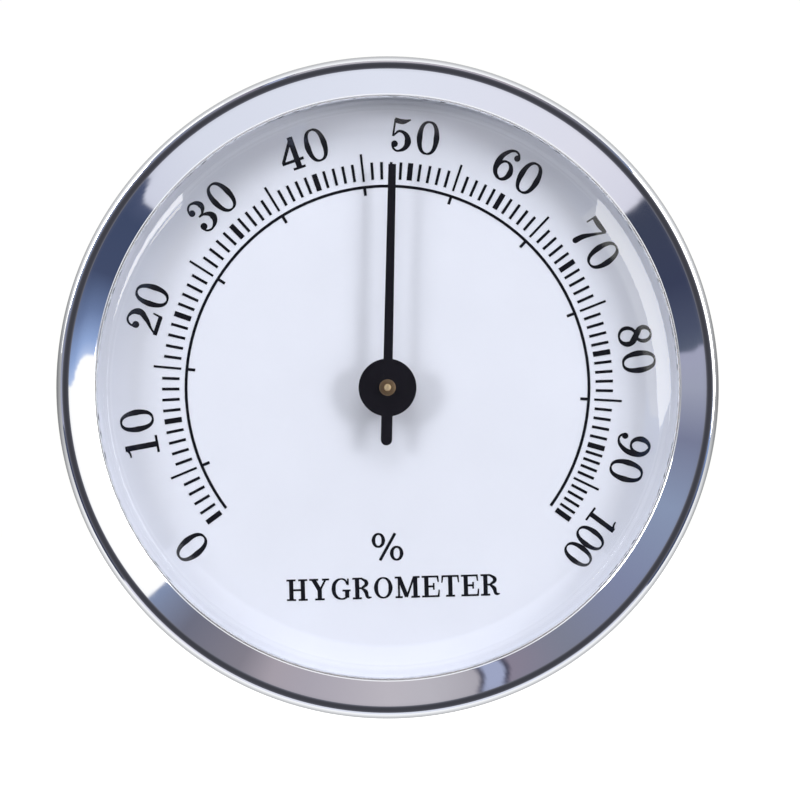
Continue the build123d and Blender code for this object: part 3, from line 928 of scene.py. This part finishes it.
def figure_mesh(mark, thickness):
    """One printed figure, one unit high and centred on its place, with a given thickness."""
    figure = FIGURES.get(mark)
    if figure is None and mark == "9":
        turned = figure_mesh("6", thickness)
        half_turn = Matrix.Rotation(math.pi, 3, "Z")
        bmesh.ops.rotate(turned, verts=turned.verts, cent=(0, 0, 0), matrix=half_turn)
        return turned
    curve = bpy.data.curves.new(f"figure {mark}", "CURVE")
    curve.dimensions = "2D"
    curve.bevel_depth = bpy.context.scene.hygrometer.printing.weight
    curve.bevel_resolution = 0
    curve.use_fill_caps = True
    curve.fill_mode = "NONE"
    for points in figure.get("strokes", []):
        draw_stroke(curve, points, False)
    for points in figure.get("loops", []):
        draw_stroke(curve, points, True)
    for place in figure.get("balls", []):
        draw_stroke(curve, ball_loop(*place), True)
    drawn = bpy.data.objects.new(curve.name, curve)
    bpy.context.scene.collection.objects.link(drawn)
    bpy.context.view_layer.update()
    mesh = bpy.data.meshes.new_from_object(drawn.evaluated_get(bpy.context.evaluated_depsgraph_get()))
    bpy.data.objects.remove(drawn)
    bpy.data.curves.remove(curve)
    bm = bmesh.new()
    bm.from_mesh(mesh)
    bpy.data.meshes.remove(mesh)
    bmesh.ops.translate(bm, verts=bm.verts, vec=(-figure["width"] / 2, -0.5, 0))
    highest = max(vert.co.z for vert in bm.verts)
    bmesh.ops.scale(bm, verts=bm.verts, vec=(1, 1, thickness / 2 / highest))
    return bm


def print_line(target, text, height, pitches, place, ink):
    """Adds a line of figures to a bmesh, centred on the place matrix; pitches are in figure heights."""
    reach = -sum(pitches) / 2
    for mark, pitch in zip(text, pitches):
        figure = figure_mesh(mark, ink / height)
        move = place @ Matrix.Scale(height, 4) @ Matrix.Translation((reach + pitch / 2, 0, 0))
        bmesh.ops.transform(figure, matrix=move, verts=figure.verts)
        mesh = bpy.data.meshes.new("line of print")
        figure.to_mesh(mesh)
        figure.free()
        target.from_mesh(mesh)
        bpy.data.meshes.remove(mesh)
        reach += pitch


def dial_place(x, z, turn, ink):
    """The matrix that lays flat print on the dial at a place, turned clockwise."""
    height = front("dial_plate") + ink / 2
    upright = Matrix.Rotation(math.radians(90), 4, "X")
    return Matrix.Translation((x, -height, z)) @ upright @ Matrix.Rotation(-turn, 4, "Z")


# Each numeral's place round the dial, in degrees clockwise from the top.
NUMERAL_PLACES = (
    ("0", -129.2),
    ("10", -100.6),
    ("20", -71.7),
    ("30", -44.1),
    ("40", -19.5),
    ("50", 6.2),
    ("60", 31.0),
    ("70", 55.4),
    ("80", 81.1),
    ("90", 106.2),
    ("100", 126.6),
)
TYPE_WORD = "HYGROMETER"

# The movement's CAD nodes by their finish.
MOVEMENT = {
    "brass": (
        "movement_bridge",
        "base_plate",
        "bridge_pillars",
        "front_bush",
        "coil_stud",
        "coil_collet",
        "calibration_arm",
    ),
    "steel": ("bridge_screws", "base_screws", "friction_washer"),
    "coil_strip": ("humidity_coil",),
}


# ---------------------------------------------------------------- operators


class BuildBezel(Operator):
    """Spins the chromed funnel bezel with its ridge, lip and crimped hem"""

    bl_idname = "hygrometer.bezel"
    bl_label = "Bezel"

    def execute(self, context):
        sizes = context.scene.hygrometer.bezel
        steps = context.scene.hygrometer.edges.steps
        outer = half_width("bezel")
        foot = rear("bezel")
        lip_foot = front("lens_gasket") + context.scene.hygrometer.lens.flange_thickness
        rise = math.tan(sizes.slope)
        inset = sizes.sheet / math.cos(sizes.slope)
        ridge = sizes.lip_corner + (outer - sizes.opening) * rise
        inner = outer - sizes.sheet
        lip_inner = sizes.opening + sizes.sheet
        points = [
            (sizes.hem_radius, foot),
            (outer, foot),
            (outer, ridge),
            (sizes.opening, sizes.lip_corner),
            (sizes.opening, lip_foot),
            (lip_inner, lip_foot),
            (lip_inner, sizes.lip_corner + sizes.sheet * rise - inset),
            (inner, ridge - sizes.sheet * rise - inset),
            (inner, foot + sizes.sheet),
            (sizes.hem_radius, foot + sizes.sheet),
        ]
        edge = sizes.cut_edge
        ridge_steps = 24
        crown_steps = 12
        brace_margin = 0.03 * MM
        after_ridge = (
            (9, edge, 2),
            (8, sizes.hem_bend - sizes.sheet, 4),
            (7, sizes.ridge_bend - sizes.sheet, 6),
            (6, sizes.lip_bend - sizes.sheet, 3),
            (4, edge, 2),
            (3, sizes.lip_bend, 14),
            (2, sizes.ridge_bend, ridge_steps),
        )
        for corner, radius, segments in after_ridge:
            points = bend(points, corner, radius, segments)
        points = crowned(points, 2 + ridge_steps, sizes.crown, crown_steps)
        for corner, radius, segments in ((1, sizes.hem_bend, 12), (0, edge, 2)):
            points = bend(points, corner, radius, segments)
        bm = spun(brace(points, brace_margin), steps)
        bezel = add_piece("bezel_trim", bm, chrome_material(sizes.colour), "housing")
        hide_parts("bezel")
        return {"FINISHED"}


class BuildLens(Operator):
    """Spins the clear domed lens with its rounded shoulder and flat flange"""

    bl_idname = "hygrometer.lens"
    bl_label = "Lens"

    def execute(self, context):
        sizes = context.scene.hygrometer.lens
        flange_rear = rear("lens")
        flange_front = flange_rear + sizes.flange_thickness
        flange_radius = half_width("lens")
        offset = sizes.wall_radius - sizes.shoulder_centre
        shoulder_height = flange_front - math.sqrt(sizes.shoulder**2 - offset**2)
        dome_reach = sizes.dome - sizes.shoulder
        dome_height = shoulder_height - math.sqrt(dome_reach**2 - sizes.shoulder_centre**2)
        meeting = math.asin(sizes.shoulder_centre / dome_reach)
        shoulder = (sizes.shoulder_centre, shoulder_height)
        skin = sizes.shoulder - sizes.thickness
        foot_turn = math.acos((flange_rear - shoulder_height) / skin)
        wall_turn = math.asin(offset / sizes.shoulder)
        outside = arc((0, dome_height), sizes.dome, 0, meeting, 20)
        outside += arc(shoulder, sizes.shoulder, meeting, wall_turn, 24)[1:]
        flange = [(flange_radius, flange_front), (flange_radius, flange_rear)]
        inside = arc(shoulder, skin, foot_turn, meeting, 24)
        inside += arc((0, dome_height), sizes.dome - sizes.thickness, meeting, 0, 20)[1:]
        bm = spun(outside + flange + inside, context.scene.hygrometer.edges.steps)
        lens = add_piece("lens_dome", bm, acrylic_material(), "housing")
        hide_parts("lens")
        return {"FINISHED"}


class BuildDial(Operator):
    """Finishes the enamelled dial, the printed scale, the spacer ring and the gasket"""

    bl_idname = "hygrometer.dial"
    bl_label = "Dial"

    def execute(self, context):
        settings = context.scene.hygrometer
        enamel = settings.printing.enamel
        edge = settings.edges.fine
        finished_copy("dial_plate", "dial_face", enamel_material(enamel), edge)
        refinish("scale_print", ink_material())
        colours = settings.finishes
        plastic = moulded_material("white plastic", colours.spacer, 0.45, 3200.0, 0.006 * MM)
        finished_copy("spacer_ring", "spacer_ring_finished", plastic, edge * 2)
        rubber = moulded_material("black rubber", colours.gasket, 0.8, 5200.0, 0.01 * MM)
        finished_copy("lens_gasket", "lens_gasket_finished", rubber, edge * 2)
        return {"FINISHED"}


class BuildNumerals(Operator):
    """Prints the numerals 0 to 100 round the scale, with their tops outwards"""

    bl_idname = "hygrometer.numerals"
    bl_label = "Numerals"

    def execute(self, context):
        sizes = context.scene.hygrometer.printing
        bm = bmesh.new()
        for text, degrees in NUMERAL_PLACES:
            turn = math.radians(degrees)
            x, z = sizes.numeral_radius * math.sin(turn), sizes.numeral_radius * math.cos(turn)
            last = len(text) == 3
            height = sizes.numeral_height * (sizes.last_scale if last else 1)
            pitches = [sizes.last_pitch if last else sizes.digit_pitch] * len(text)
            print_line(bm, text, height, pitches, dial_place(x, z, turn, sizes.ink), sizes.ink)
        add_piece("numerals", bm, ink_material(), "housing")
        return {"FINISHED"}


class BuildLegend(Operator):
    """Prints the per cent sign and the instrument's type word"""

    bl_idname = "hygrometer.legend"
    bl_label = "Legend"

    def execute(self, context):
        sizes = context.scene.hygrometer.printing
        sign = bmesh.new()
        place = dial_place(0, -sizes.sign_drop, 0, sizes.ink)
        print_line(sign, "%", sizes.sign_height, [FIGURES["%"]["width"]], place, sizes.ink)
        add_piece("per_cent_sign", sign, ink_material(), "housing")
        word = bmesh.new()
        pitches = [FIGURES[letter]["width"] + sizes.word_gap for letter in TYPE_WORD]
        place = dial_place(sizes.word_shift, -sizes.word_drop, -sizes.word_turn, sizes.ink)
        print_line(word, TYPE_WORD, sizes.word_height, pitches, place, sizes.ink)
        add_piece("type_word", word, ink_material(), "housing")
        return {"FINISHED"}


class BuildPointer(Operator):
    """Finishes the black pointer, its brass collet and the shaft"""

    bl_idname = "hygrometer.pointer"
    bl_label = "Pointer"

    def execute(self, context):
        edge = context.scene.hygrometer.edges.fine
        colours = context.scene.hygrometer.finishes
        finished_copy("pointer", "pointer_blade", pointer_material(), edge)
        brass = turned_material("brass", colours.collet, 0.34, 9000.0)
        finished_copy("pointer_collet", "pointer_collet_finished", brass, edge)
        steel = turned_material("gilt steel", colours.shaft, 0.5, 9000.0)
        finished_copy("pointer_shaft", "pointer_shaft_finished", steel, edge / 2)
        return {"FINISHED"}


class BuildCase(Operator):
    """Finishes the moulded case with its vents and the calibration hub in its back"""

    bl_idname = "hygrometer.case"
    bl_label = "Case and hub"

    def execute(self, context):
        edges = context.scene.hygrometer.edges
        colours = context.scene.hygrometer.finishes
        plastic = moulded_material("black plastic", colours.case, 0.5, 2600.0, 0.02 * MM)
        finished_copy("case", "case_moulding", plastic, edges.moulded)
        brass = turned_material("hub brass", colours.hub, 0.26, 5200.0)
        finished_copy("calibration_hub", "calibration_hub_finished", brass, edges.moulded / 2)
        return {"FINISHED"}


class BuildMovement(Operator):
    """Finishes the movement that shows through the vents"""

    bl_idname = "hygrometer.movement"
    bl_label = "Movement"

    def execute(self, context):
        colours = context.scene.hygrometer.finishes
        brass = turned_material("plate brass", colours.plates, 0.32, 2600.0)
        steel = turned_material("screw steel", colours.screws, 0.3, 6000.0)
        strip = turned_material("coil strip", colours.coil, 0.38, 7000.0)
        finishes = {"brass": brass, "steel": steel, "coil_strip": strip}
        for node, obj in frame["nodes"].items():
            if obj.hide_render or node == "scale_print":
                continue
            fitting = [finish for finish, members in MOVEMENT.items() if node in members]
            if not fitting:
                raise RuntimeError(f"{node} has no finish")
            refinish(node, finishes[fitting[0]])
        return {"FINISHED"}


# ---------------------------------------------------------------- stage

# What stands round the camera: (degrees clockwise from the top, how many degrees that edge
# moves towards the middle of the view, colour).
SURROUNDINGS = (
    (0, 0, (0.55, 0.52, 0.57)),
    (15, 0, (0.44, 0.41, 0.47)),
    (22, 0, (0.42, 0.38, 0.43)),
    (28, 0, (0.25, 0.235, 0.28)),
    (40, 0, (0.17, 0.175, 0.235)),
    (46, 0, (0.22, 0.26, 0.38)),
    (48.5, 0, (0.24, 0.30, 0.46)),
    (48.6, 0, (1.14, 1.14, 1.14)),
    (96, -6, (1.14, 1.14, 1.14)),
    (96.3, -6, (0.50, 0.62, 0.90)),
    (99, -5, (0.31, 0.43, 0.72)),
    (105, -3, (0.15, 0.21, 0.38)),
    (112, 0, (0.06, 0.08, 0.155)),
    (123, 0, (0.055, 0.075, 0.145)),
    (127, 4, (0.08, 0.10, 0.18)),
    (127.4, 4, (0.68, 0.70, 0.82)),
    (142, 0, (0.75, 0.78, 0.89)),
    (180, 0, (0.82, 0.85, 0.96)),
    (220, 0, (0.79, 0.79, 0.89)),
    (233.6, -0.4, (0.72, 0.72, 0.83)),
    (234.1, -0.4, (0.05, 0.06, 0.10)),
    (250, 0, (0.045, 0.055, 0.105)),
    (259, 0, (0.075, 0.09, 0.15)),
    (263, -1, (0.10, 0.12, 0.18)),
    (263.5, -1, (0.38, 0.39, 0.52)),
    (270, 0, (0.36, 0.38, 0.49)),
    (280, 0, (0.20, 0.22, 0.33)),
    (293, 0, (0.27, 0.33, 0.48)),
    (310, 0, (0.23, 0.26, 0.40)),
    (325, 0, (0.22, 0.235, 0.31)),
    (337, 0, (0.27, 0.24, 0.31)),
    (337.5, 0, (0.08, 0.08, 0.12)),
    (338, 0, (0.08, 0.08, 0.12)),
    (338.5, 0, (0.38, 0.42, 0.60)),
    (342, 0, (0.38, 0.42, 0.60)),
    (342.5, 0, (0.09, 0.09, 0.13)),
    (343, 0, (0.09, 0.09, 0.13)),
    (343.5, 0, (0.44, 0.42, 0.47)),
    (352, 0, (0.53, 0.51, 0.56)),
    (360, 0, (0.55, 0.52, 0.57)),
)
# Angles from the axis, in degrees: where the bright ring starts, the blend before it, the two
# ends of the edges' shift, and the far end of the slivers' bow.
RING_START = 41.5
RING_BLEND = 2.0
RING_EDGE = 42.5
RING_MIDDLE = 50.0
SLIVER_END = 55.0
# The directions of the dark slivers at the upper left, and how many degrees they bow.
SLIVER_FROM, SLIVER_TO = 330.0, 350.0
SLIVER_BOW = 0.9
# The dark middle of the card: its grey on the axis and how much it gains by the ring.
MIDDLE_GREY = 0.055
MIDDLE_GAIN = 0.135
MIDDLE_TINT = (1.0, 1.02, 1.25)
# The card's rows of corners, in degrees from the axis, and its steps round the axis.
RING_ROWS = (0, 10, 20, 28, 34, 38, 39.5, 40.5, 41.5, 43, 44, 45, 46, 47.5, 49, 51, 54, 58, 62)
CARD_STEPS = 720


def surrounding_colour(degrees, lean):
    """The surroundings' colour in one direction at an angle from the axis."""
    inwards = min(1.0, max(0.0, (RING_MIDDLE - lean) / (RING_MIDDLE - RING_EDGE))) ** 3
    if SLIVER_FROM < degrees < SLIVER_TO:
        degrees += SLIVER_BOW * math.sin(math.pi * (lean - RING_EDGE) / (SLIVER_END - RING_EDGE))
    stops = [(place + move * inwards, colour) for place, move, colour in SURROUNDINGS]
    for (first, here), (second, there) in zip(stops, stops[1:]):
        if first <= degrees <= second:
            share = (degrees - first) / (second - first)
            bright = [a + (b - a) * share for a, b in zip(here, there)]
            break
    else:
        raise ValueError("direction is off the circle")
    middle = MIDDLE_GREY + MIDDLE_GAIN * min(1.0, lean / RING_START) ** 4
    shade = [middle * tint for tint in MIDDLE_TINT]
    blend = min(1.0, max(0.0, (lean - RING_START + RING_BLEND) / RING_BLEND))
    return [a + (b - a) * blend for a, b in zip(shade, bright)]


def glow_material(name, strength, attribute=None):
    """A material that only glows, white or with the mesh's own colours."""
    material = bpy.data.materials.new(name)
    material.use_nodes = True
    tree = material.node_tree
    tree.nodes.remove(tree.nodes["Principled BSDF"])
    glow = tree.nodes.new("ShaderNodeEmission")
    glow.inputs["Color"].default_value = (1, 1, 1, 1)
    glow.inputs["Strength"].default_value = strength
    if attribute:
        colours = tree.nodes.new("ShaderNodeAttribute")
        colours.attribute_name = attribute
        tree.links.new(colours.outputs["Color"], glow.inputs["Color"])
    tree.links.new(glow.outputs["Emission"], tree.nodes["Material Output"].inputs["Surface"])
    return material


def place_card(name, bm, material, through_lens=False):
    """A card of the stage that only reflections see, some of them through the lens."""
    card = add_object(name, bm, material)
    card.visible_camera = False
    card.visible_diffuse = False
    card.visible_shadow = False
    card.visible_transmission = through_lens
    card.visible_volume_scatter = False


def direction(degrees, off_axis, distance):
    """A place in front of the dial, by its clockwise direction and its angle from the axis."""
    turn, lean = math.radians(degrees), math.radians(off_axis)
    sideways = distance * math.sin(lean)
    return Vector((sideways * math.sin(turn), -distance * math.cos(lean), sideways * math.cos(turn)))


# Soft lamps: name, degrees, angle from the axis, distance, (width, height) and power.
LAMPS = (
    ("right_lamp", 74, 49, 0.75, (0.18, 0.18), 1.45),
    ("left_lamp", 290, 49, 0.75, (0.18, 0.18), 0.95),
    ("right_fill", 88, 53, 0.75, (0.3, 0.6), 1.75),
    ("left_fill", 278, 53, 0.75, (0.3, 0.6), 2.1),
    ("top_lamp", 8, 51, 0.8, (0.95, 0.42), 4.6),
)


def place_light(name, degrees, off_axis, distance, size, power):
    """A soft lamp of a width and a height that faces the dial and doesn't show in reflections."""
    lamp = bpy.data.lights.new(name, "AREA")
    lamp.shape = "RECTANGLE"
    lamp.size, lamp.size_y = size
    lamp.energy = power
    holder = bpy.data.objects.new(name, lamp)
    holder.location = direction(degrees, off_axis, distance)
    holder.rotation_euler = (-holder.location).to_track_quat("-Z", "Y").to_euler()
    holder.visible_glossy = False
    holder.visible_transmission = False
    holder.visible_camera = False
    bpy.context.scene.collection.objects.link(holder)


def add_background(tree, colour, strength):
    """A plain background of one colour."""
    node = tree.nodes.new("ShaderNodeBackground")
    node.inputs["Color"].default_value = (*colour, 1)
    node.inputs["Strength"].default_value = strength
    return node


def build_world(seen_strength, light_strength):
    """A white room: full white to the eye, soft as light, and darker in mirrors behind and level."""
    world = bpy.data.worlds.new("white room")
    world.use_nodes = True
    tree = world.node_tree
    tree.nodes.clear()
    output = tree.nodes.new("ShaderNodeOutputWorld")
    path = tree.nodes.new("ShaderNodeLightPath")
    seen = add_background(tree, (1.0, 1.0, 0.985), seen_strength)
    mirrored = add_background(tree, (0.97, 0.98, 1.0), 1.0)
    lighting = add_background(tree, (1.0, 1.0, 1.0), light_strength)
    looking = tree.nodes.new("ShaderNodeTexCoord")
    parts = tree.nodes.new("ShaderNodeSeparateXYZ")
    tree.links.new(looking.outputs["Generated"], parts.inputs["Vector"])
    behind = add_range(tree, parts.outputs["Y"], -0.5, 0.5, 1.15, 0.6)
    level = add_range(tree, add_math(tree, "ABSOLUTE", parts.outputs["Z"], 0.0), 0.0, 0.45, 0.42, 1.0)
    level.interpolation_type = "SMOOTHSTEP"
    strength = add_math(tree, "MULTIPLY", behind.outputs["Result"], level.outputs["Result"])
    tree.links.new(strength, mirrored.inputs["Strength"])
    by_mirror = tree.nodes.new("ShaderNodeMixShader")
    by_eye = tree.nodes.new("ShaderNodeMixShader")
    direct = add_math(tree, "MAXIMUM", path.outputs["Is Camera Ray"], path.outputs["Is Transmission Ray"])
    tree.links.new(path.outputs["Is Glossy Ray"], by_mirror.inputs["Fac"])
    tree.links.new(lighting.outputs["Background"], by_mirror.inputs[1])
    tree.links.new(mirrored.outputs["Background"], by_mirror.inputs[2])
    tree.links.new(direct, by_eye.inputs["Fac"])
    tree.links.new(by_mirror.outputs["Shader"], by_eye.inputs[1])
    tree.links.new(seen.outputs["Background"], by_eye.inputs[2])
    tree.links.new(by_eye.outputs["Shader"], output.inputs["Surface"])
    bpy.context.scene.world = world


def surroundings_card(distance):
    """A flat round card in front of the dial, with its colours by direction and angle from the axis."""
    bm = bmesh.new()
    verts = [bm.verts.new((0, -distance, distance * math.tan(math.radians(lean)))) for lean in RING_ROWS]
    for first, second in zip(verts, verts[1:]):
        bm.edges.new((first, second))
    turn_round(bm, CARD_STEPS)
    layer = bm.loops.layers.float_color.new("surroundings")
    bmesh.ops.remove_doubles(bm, verts=bm.verts, dist=MERGE)
    for vert in bm.verts:
        degrees = math.degrees(math.atan2(vert.co.x, vert.co.z)) % 360
        lean = math.degrees(math.atan2(math.hypot(vert.co.x, vert.co.z), distance))
        colour = surrounding_colour(degrees, lean)
        for loop in vert.link_loops:
            loop[layer] = (*colour, 1)
    return bm


# The bright cards stand this share of the way to the surroundings card, so that they hide it.
CARD_STEP_FORWARD = 0.97

# Bright cards, each with its strength and its corners at (degrees, angle from the axis).
WINDOWS = (
    ("right_window", 6.5, ((50.5, 51), (47.5, 71), (70, 72.5), (90, 71), (99, 57.5), (92, 51.5), (74, 50))),
    ("left_window", 10.0, ((312.5, 60.5), (314, 70), (298, 71), (284, 70), (284, 66), (300, 63))),
    ("left_stripe", 8.0, ((311, 56.5), (312, 58.8), (301, 60.5), (301, 59.6))),
    ("low_left_glow", 2.5, ((276, 75), (276, 79), (330, 79), (330, 75))),
)


def flat_card(corners):
    """A flat card with its corners at (degrees, angle from the axis) in front of the dial."""
    bm = bmesh.new()
    distance = bpy.context.scene.hygrometer.stage.card_distance * CARD_STEP_FORWARD
    verts = []
    for degrees, off_axis in corners:
        reach = distance * math.tan(math.radians(off_axis))
        turn = math.radians(degrees)
        verts.append(bm.verts.new((reach * math.sin(turn), -distance, reach * math.cos(turn))))
    bm.faces.new(verts)
    return bm


def floor_material():
    """Pale paper that takes a soft shadow under the object, with a painted glow: painted shade where it
    glows less under the object, brightening into the white room.
    """
    paper = Surface("pale floor", (0.86, 0.86, 0.86), 0.0, 0.9)
    paper.shader.inputs["Specular IOR Level"].default_value = 0.0
    paper.shader.inputs["Emission Color"].default_value = (1, 1, 0.985, 1)
    reach = paper.tree.nodes.new("ShaderNodeVectorMath")
    reach.operation = "LENGTH"
    paper.tree.links.new(paper.coordinates, reach.inputs[0])
    # Painted glow: the floor glows less near the object, a painted shade under it, and more far away.
    painted_glow_by_distance = add_range(paper.tree, reach.outputs["Value"], 0.1, 0.42, 0.6, 1.1)
    paper.tree.links.new(painted_glow_by_distance.outputs["Result"], paper.shader.inputs["Emission Strength"])
    return paper.material


class BuildStage(Operator):
    """Sets the pale floor, the white room, the soft lamps, the reflector cards and the camera"""

    bl_idname = "hygrometer.stage"
    bl_label = "Stage"

    def execute(self, context):
        sizes = context.scene.hygrometer.stage
        build_world(sizes.room_white, sizes.room_light)
        floor_bm = bmesh.new()
        bmesh.ops.create_circle(floor_bm, cap_ends=True, radius=sizes.floor_radius, segments=96)
        bmesh.ops.translate(floor_bm, verts=floor_bm.verts, vec=(0, 0, -sizes.floor_drop))
        floor = add_object("floor", floor_bm, floor_material())
        floor.visible_glossy = False
        floor.visible_diffuse = False
        floor.visible_transmission = False

        around = surroundings_card(sizes.card_distance)
        glow = glow_material("surroundings", 1.0, attribute="surroundings")
        place_card("surroundings", around, glow, through_lens=True)
        for name, strength, corners in WINDOWS:
            place_card(name, flat_card(corners), glow_material(name, strength))

        for lamp in LAMPS:
            place_light(*lamp)

        eye = bpy.data.cameras.new("camera")
        eye.sensor_width = 36.0
        eye.lens = eye.sensor_width * (sizes.distance - front("bezel")) / sizes.field
        eye.shift_x = sizes.view_shift
        eye.shift_y = -sizes.view_shift
        eye.clip_start = 0.05
        eye.clip_end = 20
        camera = bpy.data.objects.new("camera", eye)
        camera.location = (0, -sizes.distance, 0)
        camera.rotation_euler = (math.radians(90), 0, 0)
        context.scene.collection.objects.link(camera)
        context.scene.camera = camera
        context.scene.view_settings.view_transform = "Standard"
        return {"FINISHED"}


BUILDERS = (
    BuildBezel,
    BuildLens,
    BuildDial,
    BuildNumerals,
    BuildLegend,
    BuildPointer,
    BuildCase,
    BuildMovement,
    BuildStage,
)


class HygrometerPanel(Panel):
    """Lists the pieces of the hygrometer and their settings"""

    bl_idname = "VIEW3D_PT_hygrometer"
    bl_label = "Dial hygrometer"
    bl_space_type = "VIEW_3D"
    bl_region_type = "UI"
    bl_category = "Hygrometer"

    def draw(self, context):
        for builder in BUILDERS:
            self.layout.operator(builder.bl_idname)
        settings = context.scene.hygrometer
        shapes = (settings.bezel, settings.lens, settings.printing, settings.edges)
        for group in (*shapes, settings.finishes, settings.stage):
            box = self.layout.box()
            for prop in group.bl_rna.properties:
                if prop.identifier not in ("rna_type", "name"):
                    box.prop(group, prop.identifier)


CLASSES = (
    BezelSettings,
    LensSettings,
    PrintSettings,
    EdgeSettings,
    FinishSettings,
    StageSettings,
    HygrometerSettings,
    *BUILDERS,
    HygrometerPanel,
)


def register():
    for item in CLASSES:
        bpy.utils.register_class(item)
    bpy.types.Scene.hygrometer = PointerProperty(type=HygrometerSettings)


def unregister():
    del bpy.types.Scene.hygrometer
    for item in reversed(CLASSES):
        bpy.utils.unregister_class(item)


def main():
    """Builds every piece and the stage."""
    register()
    for builder in BUILDERS:
        family, action = builder.bl_idname.split(".")
        getattr(getattr(bpy.ops, family), action)()


if __name__ == "__main__":
    main()
